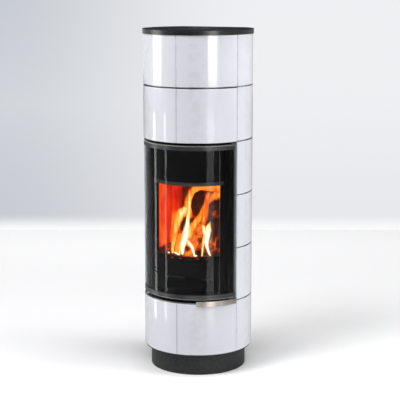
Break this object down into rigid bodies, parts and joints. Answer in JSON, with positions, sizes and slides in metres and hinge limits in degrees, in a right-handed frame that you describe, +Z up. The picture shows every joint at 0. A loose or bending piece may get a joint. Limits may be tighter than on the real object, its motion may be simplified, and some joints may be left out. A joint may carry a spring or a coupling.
{
  "type": "tiled wood stove",
  "caption": "Tall round wood stove clad in white glazed tiles, with a curved glass door, a black top plate, a recessed plinth and a steel grip.",
  "frame": {"origin": "on the floor, on the vertical axis of the tiled cylinder", "axes": "+Z up, -Y towards the front of the door, +X to the right of someone who faces the door"},
  "size_m": [0.536, 0.5059, 1.657],
  "materials": {
    "white_glaze": "smooth gloss glaze over cast ceramic",
    "lid_paint": "smooth black enamel, glossy",
    "plinth_paint": "fine-grained matt grey-black paint",
    "back_paint": "matt black heat-resistant paint",
    "frame_steel": "galvanised sheet",
    "stove_black": "matt black heat-resistant paint",
    "cast_collar": "fine cast skin, blackened",
    "cast_grate": "rough cast, sooted",
    "flue_steel": "sooted steel",
    "lining_board": "pressed mineral board, fine open grain",
    "storage_stone": "cast heat-store block, fine grain",
    "door_paint": "satin black paint",
    "door_glass": "clear heat-resistant glass ceramic",
    "rope_seal": "knitted glass rope",
    "pin_steel": "turned steel",
    "brushed_steel": "lengthwise brushed stainless steel",
    "damper_steel": "blackened steel plate",
    "pan_steel": "galvanised sheet, folded"
  },
  "bodies": {
    "root": {"plinth_floor": "plinth_paint", "plinth_wall": "plinth_paint", "base_plate": "plinth_paint", "tile_carriers": "frame_steel", "tile_frame_uprights": "frame_steel", "lintel": "stove_black", "back_panel": "back_paint", "top_plate": "lid_paint", "casing_walls": "stove_black", "body_floor": "stove_black", "crown_plate": "stove_black", "front_frame": "stove_black", "door_jambs": "stove_black", "log_guard": "stove_black", "air_deflector": "stove_black", "hearth_plate": "stove_black", "hearth_bricks": "lining_board", "grate": "cast_grate", "lining_sides": "lining_board", "lining_back": "lining_board", "lower_baffle": "lining_board", "upper_baffle": "flue_steel", "flue_collar": "cast_collar", "flue_pipe": "flue_steel", "stone_shelf": "frame_steel", "storage_stones": "storage_stone", "air_box": "frame_steel", "air_inlet": "frame_steel", "ash_runners": "frame_steel", "hinge_brackets": "stove_black", "latch_keeper": "pin_steel", "tile_ring1_side_left": "white_glaze", "tile_ring1_front_left": "white_glaze", "tile_ring1_front_right": "white_glaze", "tile_ring1_side_right": "white_glaze", "tile_ring2_side_left": "white_glaze", "tile_ring2_front_left": "white_glaze", "tile_ring2_front_right": "white_glaze", "tile_ring2_side_right": "white_glaze", "tile_ring3_side_left": "white_glaze", "tile_ring3_side_right": "white_glaze", "tile_ring4_side_left": "white_glaze", "tile_ring4_side_right": "white_glaze", "tile_ring5_side_left": "white_glaze", "tile_ring5_side_right": "white_glaze", "tile_ring6_side_left": "white_glaze", "tile_ring6_front_left": "white_glaze", "tile_ring6_front_right": "white_glaze", "tile_ring6_side_right": "white_glaze"},
    "door": {"door_rail_top": "door_paint", "door_rail_bottom": "door_paint", "door_stiles": "door_paint", "door_glass": "door_glass", "door_seal": "rope_seal", "hinge_pins": "pin_steel", "handle_pin": "pin_steel"},
    "handle": {"handle": "brushed_steel"},
    "air_control": {"air_damper": "damper_steel"},
    "ash_pan": {"ash_pan": "pan_steel"}
  },
  "joints": [
    {"name": "door_hinge", "type": "hinge", "parent": "root", "child": "door", "pos_m": [-0.22223, -0.11668, 0.7515], "axis": [0, 0, -1], "range_deg": [0, 110]},
    {"name": "handle_turn", "type": "hinge", "parent": "door", "child": "handle", "pos_m": [0.21759, -0.12311, 0.372], "axis": [0, 0, 1], "range_deg": [0, 12]},
    {"name": "air_lever_turn", "type": "hinge", "parent": "root", "child": "air_control", "pos_m": [0, 0, 0.3703], "axis": [0, 0, 1], "range_deg": [0, 35]},
    {"name": "ash_pan_slide", "type": "slide", "parent": "root", "child": "ash_pan", "axis": [0, -1, 0], "range_m": [0, 0.2]}
  ],
  "couplings": [
    {"joint": "ash_pan_slide", "follows": "door_hinge", "m_per_rad": 0.10417}
  ]
}
